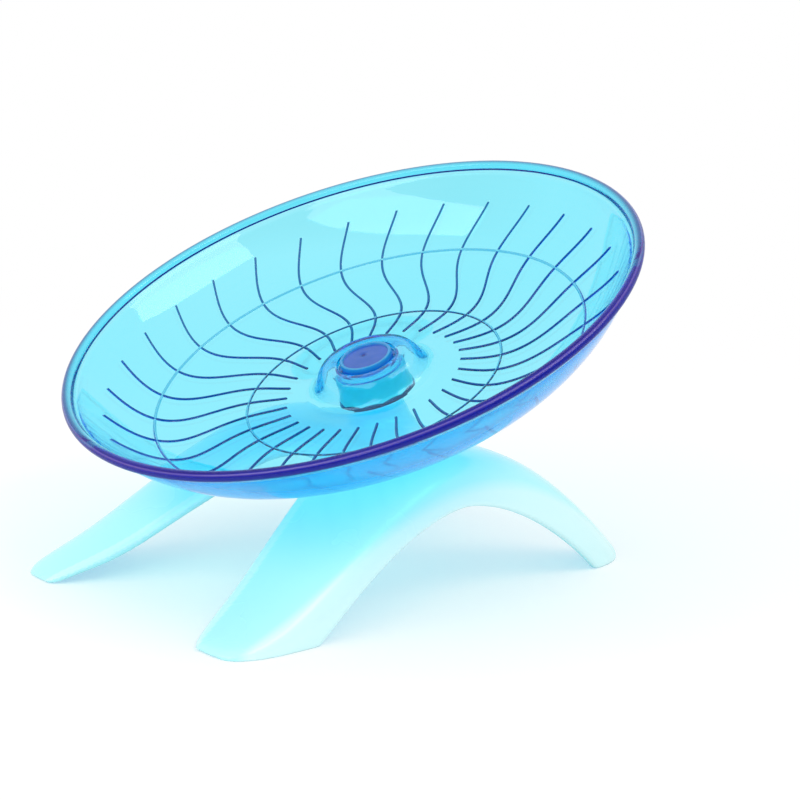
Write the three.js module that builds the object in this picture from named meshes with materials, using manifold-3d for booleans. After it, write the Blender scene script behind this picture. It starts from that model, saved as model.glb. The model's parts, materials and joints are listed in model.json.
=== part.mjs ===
import * as THREE from 'three';
import { mergeVertices } from 'three/addons/utils/BufferGeometryUtils.js';
import Module from 'manifold-3d';

// Flying saucer wheel: a clear dish that turns on a ball bearing, on a four-footed moulded stand.
// Millimetres, +Z up. The low side of the dish faces -Y. The origin lies on the floor under the
// middle of the rim. Pieces of the dish and of its bearing are drawn in the tilted frame of the
// dish, whose origin is the middle of the rim and whose +Z is the axle.

const wasm = await Module();
wasm.setup();

// Overall sizes
const overallHeight = 120;
const rimRadius = 90;
const tiltDegrees = 25;
const tilt = THREE.MathUtils.degToRad(tiltDegrees);

// Clearances
const seatGap = 0.3;
const bearingGap = 0.1;
const ballGap = 0.05;

// Rim bead
const beadWidth = 3.4;
const beadHeight = 3.0;
const beadPoints = 9;
const beadStartDegrees = 200;
const beadEndDegrees = -100;
const beadMiddle = rimRadius - beadWidth / 2;
const rimHeight = overallHeight - beadMiddle * Math.sin(tilt)
  - Math.hypot(beadWidth * Math.sin(tilt), beadHeight * Math.cos(tilt)) / 2;

// Dish wall: its running surface is a bowl that starts almost flat and steepens towards the rim
const wall = 2.0;
const lipRadius = rimRadius - beadWidth;
const floorDepth = 27.0;
const bowlPower = 5.3;
const floorRise = 3.0;
const floorRiseReach = 24;
const bowlInnerRadius = 20;
const bowlOuterRadius = 85.8;
const bowlSteps = 8;
const bowlSpacingPower = 0.8;
const slopeStep = 0.01;
const dishSegments = 60;

// The two raised rings on the running surface
const ringRadii = [40.2, 67.6];
const ringWidth = 0.9;
const ringHeight = 0.35;

// S-shaped ribs on the running surface
const ribCount = 30;
const ribStart = 27.7;
const ribEnd = 80;
const ribWidth = 0.9;
const ribHeight = 0.45;
const ribSink = 0.7;
const ribSteps = 8;
const ribFirstDegrees = 3;
const ribSwing = THREE.MathUtils.degToRad(4.5);
const ribWaveLow = 39.5;
const ribWaveLength = 52;

// Ball bearing, 4 x 13 x 5
const bearingBore = 2.0;
const bearingOuter = 6.5;
const bearingWidth = 5.0;
const bearingDepth = 24.7;
const ballCount = 7;
const ballRadius = 1.0;
const ballPitch = 4.35;
const innerRingOuter = 3.55;
const outerRingInner = 5.15;
const shieldRecess = 5.55;
const shieldRecessStart = 1.75;
const shieldThickness = 0.25;
const snapRingWidth = 0.25;
const snapRingThickness = 0.2;
const cageWidth = 0.7;
const cageStart = 0.1;
const cageEnd = 1.35;
const ringEdge = 0.25;
const bearingSegments = 32;
const groovePoints = 6;
const ballSegments = 12;
const ballRows = 8;

// Hub bell of the dish, which holds the bearing
const seatRadius = bearingOuter + seatGap;
const seatWall = 2.0;
const seatLipRadius = 5.2;
const seatLipThickness = 1.2;
const hubTopDepth = 18.6;
const bellTopRadius = 9.6;
const bellShoulderRadius = 3.4;
const bellFoot = 14.6;
const bellFootDepth = 22.6;
const bellHollowDepth = 21.0;
const bellHollowRadius = 10.4;
const bellHollowFoot = 12.9;
const bellHollowFootDepth = 24.6;
const bellFlare = 0.7;
const hollowEase = 0.3;
const shoulderEndDegrees = 15;
const shoulderPoints = 5;

// Hub cap
const capRadius = 8.2;
const capFace = 6.7;
const capEdge = 0.7;
const capTopDepth = 17.3;
const capSkirtWall = 1.2;
const capSkirtEnd = 21.6;
const capFingerCount = 6;
const capSlotWidth = 1.6;
const capSlotTop = 19.4;
const capDimpleRadius = 0.8;
const capDimpleDepth = 0.3;
const capSegments = 36;
const cutClearance = 1;

// Axle screw and washer
const shankRadius = bearingBore - seatGap;
const screwEnd = 37.5;
const screwPoint = 1.2;
const screwHeadRadius = 3.1;
const screwHeadHeight = 1.5;
const screwHeadEdge = 0.5;
const recessLength = 3.4;
const recessWidth = 0.8;
const recessDepth = 0.9;
const washerThickness = 0.5;
const washerRadius = 3.3;
const screwSegments = 24;

// Stand: a shell whose top falls off to a footprint with round corners. An arch cuts through both
// long sides, and a bay cuts in from each end, so four feet are left
const vaultDrop = 39.1;
const vaultHeight = rimHeight - vaultDrop;
const standHalfWidthShare = 0.57;
const standHalfWidth = rimRadius * standHalfWidthShare;
const standHalfLengthShare = 0.911;
const standHalfLength = rimRadius * standHalfLengthShare;
const standMiddleShare = -0.018;
const standMiddle = standHalfLength * standMiddleShare;
const standTaper = 0.08;
const footprintPower = 8;
const topPower = 1 / 3;
const ridgeMiddleShare = 0.018;
const ridgeHalfLengthShare = 1.037;
const ridgePower = 1.15;
const ridgeLean = 0.35;
const standWall = 3.0;
const standWidthSteps = 20;
const standLengthSteps = 30;
const widthSpacingPower = 3;
const lengthSpacingPower = 1.6;
const archMiddleShare = 0.073;
const archHalfWidthShare = 0.707;
const archHeightShare = 0.69;
const archPower = 1.7;
const archPoints = 33;
const bayShares = [
  { side: -1, foot: 0.653, apex: 0.122, round: 0.234 },
  { side: 1, foot: 0.741, apex: -0.104, round: 0.351 },
];
const curveSegments = 28;

// Pillar of the stand, under the bearing
const pillarTipRadius = 3.2;
const pillarTipLength = 2.2;
const pillarRadius = 7.4;
const pillarEdge = 0.8;
const pillarFootRadius = 9.6;
const pillarFootLength = 4;
const pillarFootDepth = 42;
const pillarEndDepth = 44.5;
const pillarBoreEnd = 39.5;
const pillarSegments = 36;

// Colours and finishes
const finishes = {
  aqua: { color: 0xa9f1f5, roughness: 0.25, metalness: 0 },
  cyan: { color: 0x4fdcff, roughness: 0.08, metalness: 0 },
  indigo: { color: 0x4b5bd0, roughness: 0.12, metalness: 0 },
  steel: { color: 0xb9bdc4, roughness: 0.28, metalness: 1 },
  cage: { color: 0xa08a54, roughness: 0.4, metalness: 1 },
};

const group = new THREE.Group();
group.name = 'flying_saucer_wheel';
const dishFrame = new THREE.Group();
dishFrame.position.set(0, 0, rimHeight);
dishFrame.rotation.x = tilt;
dishFrame.updateMatrix();
group.add(dishFrame);

function addNode(parent, name, geometry, finish) {
  const mesh = new THREE.Mesh(geometry, new THREE.MeshStandardMaterial(finish));
  mesh.name = name;
  parent.add(mesh);
  return mesh;
}

// Solids

function signedVolume(geometry) {
  const position = geometry.attributes.position;
  const index = geometry.index.array;
  const corners = [new THREE.Vector3(), new THREE.Vector3(), new THREE.Vector3()];
  let volume = 0;
  for (let i = 0; i < index.length; i += 3) {
    corners.forEach((corner, k) => corner.fromBufferAttribute(position, index[i + k]));
    volume += corners[0].dot(corners[1].clone().cross(corners[2])) / 6;
  }
  return volume;
}

// A closed mesh with shared corners, without empty triangles, whose faces point outwards
function closedMesh(source) {
  const bare = source.clone();
  bare.deleteAttribute('normal');
  bare.deleteAttribute('uv');
  bare.morphAttributes = {};
  const merged = mergeVertices(bare, 1e-5);
  const old = merged.index.array;
  const kept = [];
  for (let i = 0; i < old.length; i += 3) {
    const [a, b, c] = [old[i], old[i + 1], old[i + 2]];
    if (a !== b && b !== c && c !== a) kept.push(a, b, c);
  }
  merged.setIndex(kept);
  if (signedVolume(merged) < 0) {
    for (let i = 0; i < kept.length; i += 3) {
      [kept[i + 1], kept[i + 2]] = [kept[i + 2], kept[i + 1]];
    }
    merged.setIndex(kept);
  }
  return merged;
}

function toSolid(source) {
  const closed = closedMesh(source);
  return new wasm.Manifold(new wasm.Mesh({
    numProp: 3,
    vertProperties: new Float32Array(closed.attributes.position.array),
    triVerts: new Uint32Array(closed.index.array),
  }));
}

function toGeometry(solid) {
  const mesh = solid.getMesh();
  const geometry = new THREE.BufferGeometry();
  geometry.setAttribute('position', new THREE.BufferAttribute(new Float32Array(mesh.vertProperties), 3));
  geometry.setIndex(new THREE.BufferAttribute(new Uint32Array(mesh.triVerts), 1));
  geometry.computeVertexNormals();
  return geometry;
}

// A turned solid about +Z from a profile of [radius, height] points that closes on itself
function turned(profile, segments) {
  const points = profile.map(([radius, height]) => new THREE.Vector2(radius, height));
  const last = points[points.length - 1];
  if (points[0].distanceTo(last) > 0 && (points[0].x > 0 || last.x > 0)) points.push(points[0].clone());
  const geometry = new THREE.LatheGeometry(points, segments);
  geometry.rotateX(Math.PI / 2);
  return closedMesh(geometry);
}

// Points of a quarter round from one direction to another, in degrees
function arcPoints(middle, radii, fromDegrees, toDegrees, count) {
  return Array.from({ length: count }, (_, i) => {
    const angle = THREE.MathUtils.degToRad(fromDegrees + (toDegrees - fromDegrees) * i / (count - 1));
    return [middle[0] + radii[0] * Math.cos(angle), middle[1] + radii[1] * Math.sin(angle)];
  });
}

function prism(shape, depth) {
  return new THREE.ExtrudeGeometry(shape, { depth, bevelEnabled: false, curveSegments });
}

// Dish

function bowlDepth(radius) {
  const bowl = floorDepth * (1 - (radius / lipRadius) ** bowlPower);
  return bowl - floorRise * Math.exp(-((radius / floorRiseReach) ** 2));
}

function bowlSlope(radius) {
  return (bowlDepth(radius - slopeStep) - bowlDepth(radius + slopeStep)) / (2 * slopeStep);
}

// A point of the running surface moved by a distance along the surface's upward normal
function bowlPoint(radius, offset) {
  const slope = bowlSlope(radius);
  const length = Math.hypot(slope, 1);
  return [radius - offset * slope / length, -bowlDepth(radius) + offset / length];
}

function bowlRadii() {
  const plain = Array.from({ length: bowlSteps + 1 }, (_, i) => (
    bowlInnerRadius + (bowlOuterRadius - bowlInnerRadius) * (i / bowlSteps) ** bowlSpacingPower
  ));
  return plain.filter((radius) => ringRadii.every((ring) => Math.abs(radius - ring) > ringWidth));
}

// The running surface from the hub to the lip, with its two raised rings
function runningSurface() {
  const rings = ringRadii.flatMap((ring) => [
    { radius: ring - ringWidth / 2, offset: 0 },
    { radius: ring, offset: ringHeight },
    { radius: ring + ringWidth / 2, offset: 0 },
  ]);
  const plain = bowlRadii().map((radius) => ({ radius, offset: 0 }));
  const stations = [...plain, ...rings].sort((a, b) => a.radius - b.radius);
  return stations.map(({ radius, offset }) => bowlPoint(radius, offset));
}

function beadOutline() {
  const radii = [beadWidth / 2, beadHeight / 2];
  return arcPoints([beadMiddle, 0], radii, beadStartDegrees, beadEndDegrees, beadPoints);
}

function dishProfile() {
  const seatEnd = bearingDepth + bearingWidth / 2 + seatGap;
  const lipEnd = seatEnd + seatLipThickness;
  const tubeRadius = seatRadius + seatWall;
  const shoulderMiddle = [bellTopRadius, -hubTopDepth - bellShoulderRadius];
  const shoulderRadii = [bellShoulderRadius, bellShoulderRadius];
  const shoulder = arcPoints(shoulderMiddle, shoulderRadii, 90, shoulderEndDegrees, shoulderPoints);
  const underside = bowlRadii().reverse().map((radius) => bowlPoint(radius, -wall));
  return [
    [seatLipRadius, -lipEnd],
    [seatLipRadius, -seatEnd],
    [seatRadius, -seatEnd],
    [seatRadius, -hubTopDepth],
    ...shoulder,
    [bellFoot, -bellFootDepth],
    [(bellFoot + bowlInnerRadius) / 2, (-bellFootDepth - bowlDepth(bowlInnerRadius)) / 2 - bellFlare],
    ...runningSurface(),
    ...beadOutline(),
    ...underside,
    [bellHollowFoot + wall, bowlPoint(bowlInnerRadius, -wall)[1] + hollowEase],
    [bellHollowFoot, -bellHollowFootDepth],
    [bellHollowRadius, -bellHollowDepth],
    [tubeRadius, -bellHollowDepth],
    [tubeRadius, -lipEnd],
  ];
}

function ribAngle(radius) {
  return ribSwing * (1 - Math.cos(2 * Math.PI * (radius - ribWaveLow) / ribWaveLength));
}

// A box bent along the S: its length follows the radius, its height the surface's normal
function ribGeometry(turn) {
  const geometry = new THREE.BoxGeometry(1, 1, 1, ribSteps, 1, 1);
  const position = geometry.attributes.position;
  const place = (radius) => new THREE.Vector2(radius, 0)
    .rotateAround(new THREE.Vector2(), turn + ribAngle(radius));
  for (let i = 0; i < position.count; i += 1) {
    const along = ribStart + (position.getX(i) + 0.5) * (ribEnd - ribStart);
    const offset = position.getZ(i) > 0 ? ribHeight : -ribSink;
    const [radius, height] = bowlPoint(along, offset);
    const ahead = place(along + slopeStep).sub(place(along - slopeStep)).normalize();
    const spot = place(along).multiplyScalar(radius / along);
    spot.x -= ahead.y * position.getY(i) * ribWidth;
    spot.y += ahead.x * position.getY(i) * ribWidth;
    position.setXYZ(i, spot.x, spot.y, height);
  }
  return geometry;
}

function dishGeometry() {
  let dish = toSolid(turned(dishProfile(), dishSegments));
  for (let i = 0; i < ribCount; i += 1) {
    const turn = THREE.MathUtils.degToRad(ribFirstDegrees + i * 360 / ribCount);
    dish = dish.add(toSolid(ribGeometry(turn)));
  }
  return toGeometry(dish);
}

// Hub cap: a round face on a skirt that is slit into snap fingers

function capGeometry() {
  const skirtOuter = seatRadius - seatGap;
  const skirtInner = skirtOuter - capSkirtWall;
  const underside = hubTopDepth - seatGap;
  const body = turned([
    [0, -capTopDepth - capDimpleDepth],
    [capDimpleRadius, -capTopDepth - capDimpleDepth],
    [capDimpleRadius, -capTopDepth],
    [capFace, -capTopDepth],
    [capRadius - capEdge / 2, -capTopDepth - capEdge / 2],
    [capRadius, -capTopDepth - capEdge],
    [capRadius, -underside],
    [skirtOuter, -underside],
    [skirtOuter, -capSkirtEnd],
    [skirtInner, -capSkirtEnd],
    [skirtInner, -underside - capEdge],
    [0, -underside - capEdge],
  ], capSegments);
  let cap = toSolid(body);
  const slotHeight = capSkirtEnd - capSlotTop + cutClearance;
  const slotReach = skirtOuter + cutClearance;
  for (let i = 0; i < capFingerCount / 2; i += 1) {
    const slot = new THREE.BoxGeometry(2 * slotReach, capSlotWidth, slotHeight);
    slot.translate(0, 0, -capSlotTop - slotHeight / 2);
    slot.rotateZ(i * 2 * Math.PI / capFingerCount);
    cap = cap.subtract(toSolid(slot));
  }
  return toGeometry(cap);
}

// Bearing, drawn about its own middle

function innerRingGeometry() {
  const half = bearingWidth / 2;
  const groove = ballRadius + ballGap;
  const rise = Math.sqrt(groove ** 2 - (ballPitch - innerRingOuter) ** 2);
  const grooveAngle = THREE.MathUtils.radToDeg(Math.atan2(rise, innerRingOuter - ballPitch));
  return turned([
    [bearingBore + ringEdge, -half],
    [innerRingOuter, -half],
    ...arcPoints([ballPitch, 0], [groove, groove], 360 - grooveAngle, grooveAngle, groovePoints),
    [innerRingOuter, half],
    [bearingBore + ringEdge, half],
    [bearingBore, half - ringEdge],
    [bearingBore, -half + ringEdge],
  ], bearingSegments);
}

function outerRingGeometry() {
  const half = bearingWidth / 2;
  const groove = ballRadius + ballGap;
  const rise = Math.sqrt(groove ** 2 - (outerRingInner - ballPitch) ** 2);
  const grooveAngle = THREE.MathUtils.radToDeg(Math.atan2(rise, outerRingInner - ballPitch));
  return turned([
    [shieldRecess, -half],
    [shieldRecess, -shieldRecessStart],
    [outerRingInner, -shieldRecessStart],
    ...arcPoints([ballPitch, 0], [groove, groove], -grooveAngle, grooveAngle, groovePoints),
    [outerRingInner, shieldRecessStart],
    [shieldRecess, shieldRecessStart],
    [shieldRecess, half],
    [bearingOuter - ringEdge, half],
    [bearingOuter, half - ringEdge],
    [bearingOuter, -half + ringEdge],
    [bearingOuter - ringEdge, -half],
  ], bearingSegments);
}

function flatRing(inner, outer, low, high, segments) {
  return turned([[inner, low], [outer, low], [outer, high], [inner, high]], segments);
}

function shieldGeometry(side) {
  const inner = innerRingOuter + 2 * bearingGap;
  const outer = shieldRecess - bearingGap;
  const low = shieldRecessStart + bearingGap;
  const high = low + shieldThickness;
  return flatRing(inner, outer, Math.min(side * low, side * high), Math.max(side * low, side * high),
    bearingSegments);
}

function snapRingGeometry(side) {
  const outer = shieldRecess - bearingGap;
  const low = shieldRecessStart + 2 * bearingGap + shieldThickness;
  const high = low + snapRingThickness;
  return flatRing(outer - snapRingWidth, outer, Math.min(side * low, side * high),
    Math.max(side * low, side * high), bearingSegments);
}

function ballMiddle(i) {
  const angle = 2 * Math.PI * i / ballCount;
  return new THREE.Vector3(ballPitch * Math.cos(angle), ballPitch * Math.sin(angle), 0);
}

// One half of the cage: a ring with a round pocket over each ball
function cageGeometry(side) {
  const low = Math.min(side * cageStart, side * cageEnd);
  const high = Math.max(side * cageStart, side * cageEnd);
  const ring = flatRing(ballPitch - cageWidth / 2, ballPitch + cageWidth / 2, low, high, 4 * ballCount);
  let cage = toSolid(ring);
  for (let i = 0; i < ballCount; i += 1) {
    const pocket = new THREE.SphereGeometry(ballRadius + bearingGap, ballSegments, ballRows);
    const middle = ballMiddle(i);
    pocket.translate(middle.x, middle.y, middle.z);
    cage = cage.subtract(toSolid(pocket));
  }
  return toGeometry(cage);
}

// Axle screw: a pan head with a cross recess on a plain shank with a chamfered point

function screwGeometry() {
  const seat = bearingDepth - bearingWidth / 2 - seatGap - washerThickness - seatGap;
  const top = seat - screwHeadHeight;
  const body = turned([
    [0, -top],
    [screwHeadRadius - screwHeadEdge, -top],
    [screwHeadRadius, -top - screwHeadEdge],
    [screwHeadRadius, -seat],
    [shankRadius, -seat],
    [shankRadius, -screwEnd + screwPoint],
    [shankRadius - screwPoint / 2, -screwEnd],
    [0, -screwEnd],
  ], screwSegments);
  let screw = toSolid(body);
  for (const turn of [0, Math.PI / 2]) {
    const recess = new THREE.BoxGeometry(recessLength, recessWidth, 2 * recessDepth);
    recess.rotateZ(turn);
    recess.translate(0, 0, -top);
    screw = screw.subtract(toSolid(recess));
  }
  return toGeometry(screw);
}

function washerGeometry() {
  const low = -(bearingDepth - bearingWidth / 2 - seatGap);
  return flatRing(bearingBore, washerRadius, low, low + washerThickness, screwSegments);
}

// Stand

// Spreads even steps from -1 to 1 so that they crowd together towards both ends
function crowded(step, power) {
  return Math.sign(step) * (1 - (1 - Math.abs(step)) ** power);
}

// The top of the stand over a square of two shares from -1 to 1. The square is bent into a
// footprint whose outline is a superellipse, and the height falls off to that outline. Over the
// length, the ridge is a power of a cosine that leans towards the high side of the dish.
function standPoint(across, along, shrink) {
  const bend = (share, other) => share * (1 - Math.abs(other) ** footprintPower / 2) ** (1 / footprintPower);
  const y = standMiddle + (standHalfLength - shrink) * bend(along, across);
  const lengthShare = (y - standHalfLength * ridgeMiddleShare) / (standHalfLength * ridgeHalfLengthShare);
  const halfWidth = standHalfWidth * (1 - standTaper * lengthShare) - shrink;
  const arc = Math.cos(Math.min(Math.abs(lengthShare), 1) * Math.PI / 2) ** ridgePower;
  const ridge = vaultHeight * arc * (1 + ridgeLean * lengthShare);
  const fall = (1 - Math.abs(across) ** footprintPower) * (1 - Math.abs(along) ** footprintPower);
  return [halfWidth * bend(across, along), y, Math.max(ridge * Math.max(fall, 0) ** topPower - shrink, 0)];
}

function standSolid(shrink) {
  const geometry = new THREE.BoxGeometry(2, 2, 1, standWidthSteps, standLengthSteps, 1);
  const position = geometry.attributes.position;
  for (let i = 0; i < position.count; i += 1) {
    const across = crowded(position.getX(i), widthSpacingPower);
    const along = crowded(position.getY(i), lengthSpacingPower);
    const [x, y, z] = standPoint(across, along, shrink);
    position.setXYZ(i, x, y, position.getZ(i) > 0 ? z : -cutClearance);
  }
  return toSolid(geometry);
}

// All that lies over the floor within reach
function overFloor() {
  const reach = 4 * standHalfLength;
  const block = new THREE.BoxGeometry(reach, reach, reach);
  block.translate(0, 0, reach / 2);
  return toSolid(block);
}

// The arch through both long sides: its height falls from the middle with a power of the distance
function archSolid() {
  const middle = standHalfLength * archMiddleShare;
  const halfWidth = standHalfLength * archHalfWidthShare;
  const height = vaultHeight * archHeightShare;
  const points = Array.from({ length: archPoints }, (_, i) => {
    const share = 1 - 2 * i / (archPoints - 1);
    return new THREE.Vector2(halfWidth * share, height * (1 - Math.abs(share) ** archPower));
  });
  points.push(new THREE.Vector2(-halfWidth, -2 * cutClearance));
  points.push(new THREE.Vector2(halfWidth, -2 * cutClearance));
  const reach = 2 * standHalfWidth;
  const solid = prism(new THREE.Shape(points), 2 * reach);
  solid.translate(0, 0, -reach);
  solid.rotateX(Math.PI / 2);
  solid.rotateZ(Math.PI / 2);
  solid.translate(0, middle, 0);
  return toSolid(solid);
}

// A bay between two feet: a wedge in plan with a round end towards the hub
function baySolid({ side, foot, apex, round }) {
  const apexY = -apex * standHalfLength;
  const radius = round * standHalfWidth;
  const footY = standHalfLength + side * standMiddle;
  const half = Math.atan2(foot * standHalfWidth, footY - apexY);
  const middle = apexY + radius / Math.sin(half);
  const end = footY + radius;
  const endX = (end - apexY) * Math.tan(half);
  const shape = new THREE.Shape();
  shape.moveTo(-endX, end);
  shape.lineTo(endX, end);
  shape.absarc(0, middle, radius, -half, Math.PI + half, true);
  const solid = prism(shape, 2 * vaultHeight);
  solid.translate(0, 0, -vaultHeight / 2);
  if (side < 0) solid.rotateZ(Math.PI);
  return toSolid(solid);
}

function pillarSolid() {
  const tipDepth = bearingDepth + bearingWidth / 2 + seatGap;
  const shoulderDepth = tipDepth + pillarTipLength;
  const profile = [
    [bearingBore, -tipDepth],
    [pillarTipRadius, -tipDepth],
    [pillarTipRadius, -shoulderDepth],
    [pillarRadius - pillarEdge, -shoulderDepth],
    [pillarRadius, -shoulderDepth - pillarEdge],
    [pillarRadius, -pillarFootDepth + pillarFootLength],
    [pillarFootRadius, -pillarFootDepth],
    [pillarFootRadius, -pillarEndDepth],
    [0, -pillarEndDepth],
    [0, -pillarBoreEnd],
    [bearingBore, -pillarBoreEnd],
  ];
  const geometry = turned(profile, pillarSegments);
  geometry.applyMatrix4(dishFrame.matrix);
  return toSolid(geometry);
}

function standGeometry() {
  let shell = standSolid(0).subtract(standSolid(standWall));
  shell = shell.intersect(overFloor());
  shell = shell.subtract(archSolid());
  for (const bay of bayShares) shell = shell.subtract(baySolid(bay));
  return toGeometry(shell.add(pillarSolid()));
}

// Assembly

addNode(group, 'stand', standGeometry(), finishes.aqua);
addNode(dishFrame, 'saucer_dish', dishGeometry(), finishes.cyan);
addNode(dishFrame, 'hub_cap', capGeometry(), finishes.indigo);
addNode(dishFrame, 'axle_screw', screwGeometry(), finishes.steel);
addNode(dishFrame, 'screw_washer', washerGeometry(), finishes.steel);

const bearingFrame = new THREE.Group();
bearingFrame.position.set(0, 0, -bearingDepth);
dishFrame.add(bearingFrame);
addNode(bearingFrame, 'bearing_outer_ring', outerRingGeometry(), finishes.steel);
addNode(bearingFrame, 'bearing_inner_ring', innerRingGeometry(), finishes.steel);
for (const [word, side] of [['upper', 1], ['lower', -1]]) {
  addNode(bearingFrame, `bearing_shield_${word}`, shieldGeometry(side), finishes.steel);
  addNode(bearingFrame, `snap_ring_${word}`, snapRingGeometry(side), finishes.steel);
  addNode(bearingFrame, `ball_cage_${word}`, cageGeometry(side), finishes.cage);
}
for (let i = 0; i < ballCount; i += 1) {
  const ball = new THREE.SphereGeometry(ballRadius, ballSegments, ballRows);
  const node = addNode(bearingFrame, `ball_${i + 1}`, ball, finishes.steel);
  node.position.copy(ballMiddle(i));
}

export default group;
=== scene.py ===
import json
import math
import bpy
import numpy as np
from mathutils import Matrix


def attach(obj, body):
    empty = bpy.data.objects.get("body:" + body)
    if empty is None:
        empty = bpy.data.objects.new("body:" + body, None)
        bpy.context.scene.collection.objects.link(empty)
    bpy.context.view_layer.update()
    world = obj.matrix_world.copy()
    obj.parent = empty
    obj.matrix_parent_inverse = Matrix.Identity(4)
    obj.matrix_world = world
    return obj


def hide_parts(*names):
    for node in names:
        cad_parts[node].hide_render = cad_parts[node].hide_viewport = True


# A flying saucer wheel: a clear dish on a ball bearing, on a four-footed moulded stand.
# Lengths are in millimetres until a mesh is made. Depths are measured down the axle from the rim.

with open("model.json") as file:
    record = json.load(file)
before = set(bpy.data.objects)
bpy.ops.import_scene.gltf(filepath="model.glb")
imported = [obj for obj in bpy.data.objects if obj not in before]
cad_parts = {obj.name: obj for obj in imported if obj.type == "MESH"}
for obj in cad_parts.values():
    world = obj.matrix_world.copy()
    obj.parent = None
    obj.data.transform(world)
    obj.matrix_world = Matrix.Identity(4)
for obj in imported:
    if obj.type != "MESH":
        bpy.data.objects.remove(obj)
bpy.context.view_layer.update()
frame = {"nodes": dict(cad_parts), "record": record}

mm = 0.001
axle = frame["record"]["behaviour"]["joints"][0]
rimMiddle = np.array(axle["pos_m"]) / mm
axleWay = np.array(axle["axis"])
acrossWay = np.array([1.0, 0.0, 0.0])
slopeWay = np.cross(axleWay, acrossWay)


def fromDish(points):
    # Turns points of the tilted dish frame (across, up the slope, along the axle) into the row frame.
    across, slope, along = points[..., :1], points[..., 1:2], points[..., 2:3]
    return rimMiddle + across * acrossWay + slope * slopeWay + along * axleWay


# Meshes

cornerSteps = 4


def makeMesh(name, points, quads, shares=None):
    # A smooth mesh of quads from points in millimetres. Each share is kept as a value at its point.
    mesh = bpy.data.meshes.new(name)
    mesh.vertices.add(len(points))
    mesh.vertices.foreach_set("co", (points * mm).astype(np.float32).ravel())
    mesh.loops.add(quads.size)
    mesh.loops.foreach_set("vertex_index", quads.astype(np.int32).ravel())
    mesh.polygons.add(len(quads))
    mesh.polygons.foreach_set("loop_start", np.arange(0, quads.size, 4, dtype=np.int32))
    mesh.polygons.foreach_set("use_smooth", np.ones(len(quads), dtype=bool))
    for word, values in (shares or {}).items():
        layer = mesh.attributes.new(word, "FLOAT", "POINT")
        layer.data.foreach_set("value", values.astype(np.float32).ravel())
    mesh.update(calc_edges=True)
    mesh.validate()
    piece = bpy.data.objects.new(name, mesh)
    bpy.context.scene.collection.objects.link(piece)
    return piece


def gridQuads(rows, columns):
    # Every square of a grid that is closed both ways, as corners that go round it once.
    i, j = np.meshgrid(np.arange(rows), np.arange(columns), indexing="ij")
    nextI, nextJ = (i + 1) % rows, (j + 1) % columns
    corners = [i * columns + j, nextI * columns + j, nextI * columns + nextJ, i * columns + nextJ]
    return np.stack(corners, -1).reshape(-1, 4)


def roundCorners(corners, reach):
    # Each corner of an open line becomes a short quadratic curve that starts and ends a reach away.
    corners = np.array(corners, dtype=float)
    before, after = corners[:-2] - corners[1:-1], corners[2:] - corners[1:-1]
    before /= np.linalg.norm(before, axis=1, keepdims=True)
    after /= np.linalg.norm(after, axis=1, keepdims=True)
    t = np.linspace(0, 1, cornerSteps)[None, :, None]
    middle = corners[1:-1, None]
    curve = middle + reach * ((1 - t) ** 2 * before[:, None] + t ** 2 * after[:, None])
    return np.concatenate([corners[:1], curve.reshape(-1, 2), corners[-1:]])


def smoothLine(knots, steps):
    # A Catmull-Rom curve through the knots: cubic pieces whose slopes are half the chord across.
    knots = np.array(knots, dtype=float)
    ends = np.concatenate([2 * knots[:1] - knots[1:2], knots, 2 * knots[-1:] - knots[-2:-1]])
    t = np.linspace(0, 1, steps, endpoint=False)[None, :, None]
    a, b, c, d = ends[:-3, None], ends[1:-2, None], ends[2:-1, None], ends[3:, None]
    square, cube = 2 * a - 5 * b + 4 * c - d, 3 * b - a - 3 * c + d
    curve = 0.5 * (2 * b + (c - a) * t + square * t ** 2 + cube * t ** 3)
    return np.concatenate([curve.reshape(-1, knots.shape[1]), knots[-1:]])


def turnedPoints(profile, angles):
    # A profile of (radius, height) carried round the axle, one row for each profile point.
    radius, height = profile[:, :1], profile[:, 1:2]
    return np.stack([radius * np.cos(angles), radius * np.sin(angles), height + 0 * angles], -1)


# Materials

def newMaterial(name):
    material = bpy.data.materials.new(name)
    material.use_nodes = True
    tree = material.node_tree
    shader = next(node for node in tree.nodes if node.type == "BSDF_PRINCIPLED")
    return material, tree, shader


def addNode(tree, kind, settings=None, **inputs):
    # A node with its settings, and with numbers or colours on its own sockets.
    node = tree.nodes.new(kind)
    for word, value in (settings or {}).items():
        setattr(node, word, value)
    for word, value in inputs.items():
        node.inputs[word.replace("_", " ")].default_value = value
    return node


def noiseOn(tree, scale, detail):
    # Noise on the piece's own coordinates, in features per metre.
    place = addNode(tree, "ShaderNodeTexCoord")
    noise = addNode(tree, "ShaderNodeTexNoise", None, Scale=scale, Detail=detail)
    tree.links.new(place.outputs["Object"], noise.inputs["Vector"])
    return noise.outputs["Fac"]


def spread(tree, source, low, high, toLow, toHigh):
    # Maps a value from one range to another, and holds it at the ends.
    ranges = addNode(tree, "ShaderNodeMapRange", {"clamp": True})
    for word, value in (("From Min", low), ("From Max", high), ("To Min", toLow), ("To Max", toHigh)):
        ranges.inputs[word].default_value = value
    tree.links.new(source, ranges.inputs["Value"])
    return ranges.outputs["Result"]


def blendColours(tree, factor, first, second):
    # A mix of two colours, each one a socket or three numbers.
    mix = addNode(tree, "ShaderNodeMix", {"data_type": "RGBA"})
    tree.links.new(factor, mix.inputs["Factor"])
    for socket, colour in ((mix.inputs["A"], first), (mix.inputs["B"], second)):
        if isinstance(colour, bpy.types.NodeSocket):
            tree.links.new(colour, socket)
        else:
            socket.default_value = (*colour, 1)
    return mix.outputs["Result"]


def calculate(tree, operation, first, second):
    # One sum, product or larger value of two sockets.
    node = addNode(tree, "ShaderNodeMath", {"operation": operation})
    tree.links.new(first, node.inputs[0])
    tree.links.new(second, node.inputs[1])
    return node.outputs[0]


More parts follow.
